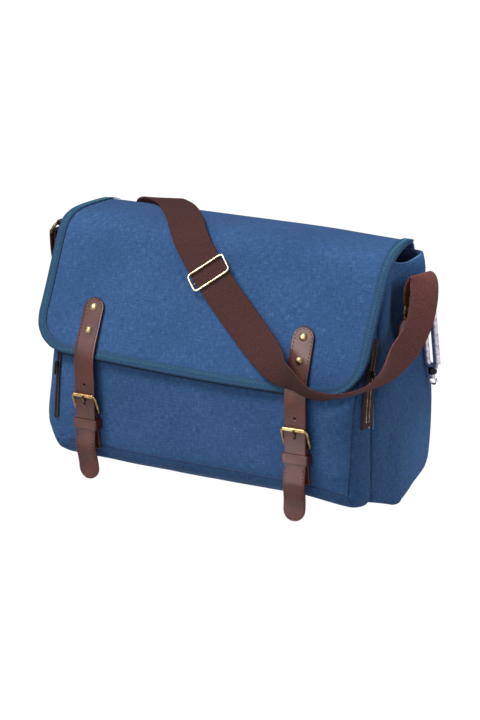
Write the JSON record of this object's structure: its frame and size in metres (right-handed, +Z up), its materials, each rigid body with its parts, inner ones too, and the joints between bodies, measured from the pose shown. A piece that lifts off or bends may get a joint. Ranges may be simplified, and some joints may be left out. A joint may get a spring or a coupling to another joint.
{
  "type": "document bag",
  "caption": "Soft canvas document bag with a bound flap, boxed front pocket, buckled leather closure straps and a webbing shoulder strap.",
  "frame": {"origin": "on the flat part of the base, below the middle of the main compartment", "axes": "+X to the right-hand end seen from the front, -Y towards the front, +Z up"},
  "size_m": [0.4358, 0.2121, 0.2706],
  "materials": {
    "canvas": "washed plain-weave canvas",
    "binding": "woven binding tape",
    "leather": "smooth brown leather with a soft sheen",
    "webbing": "dense woven webbing",
    "brass": "antique polished brass",
    "nickel": "polished nickel"
  },
  "bodies": {
    "root": {"body_shell": "canvas", "front_pocket": "canvas", "flap": "canvas", "flap_binding": "binding", "closure_strap_left": "leather", "closure_strap_right": "leather", "flap_rivet_left_upper": "brass", "flap_rivet_left_lower": "brass", "flap_rivet_right_upper": "brass", "flap_rivet_right_lower": "brass", "buckle_left": "brass", "buckle_right": "brass", "buckle_prong_left": "brass", "buckle_prong_right": "brass", "buckle_tab_left": "leather", "buckle_tab_right": "leather", "keeper_left": "leather", "keeper_right": "leather", "shoulder_strap": "webbing", "strap_slider": "brass", "side_tab_left": "leather", "side_tab_right": "leather", "side_rivet_left": "brass", "side_rivet_right": "brass", "side_ring_left": "brass", "side_ring_right": "brass", "zip_left": "webbing", "zip_right": "webbing", "zip_slider_left": "brass", "zip_slider_right": "brass", "snap_hook": "nickel"}
  },
  "joints": []
}
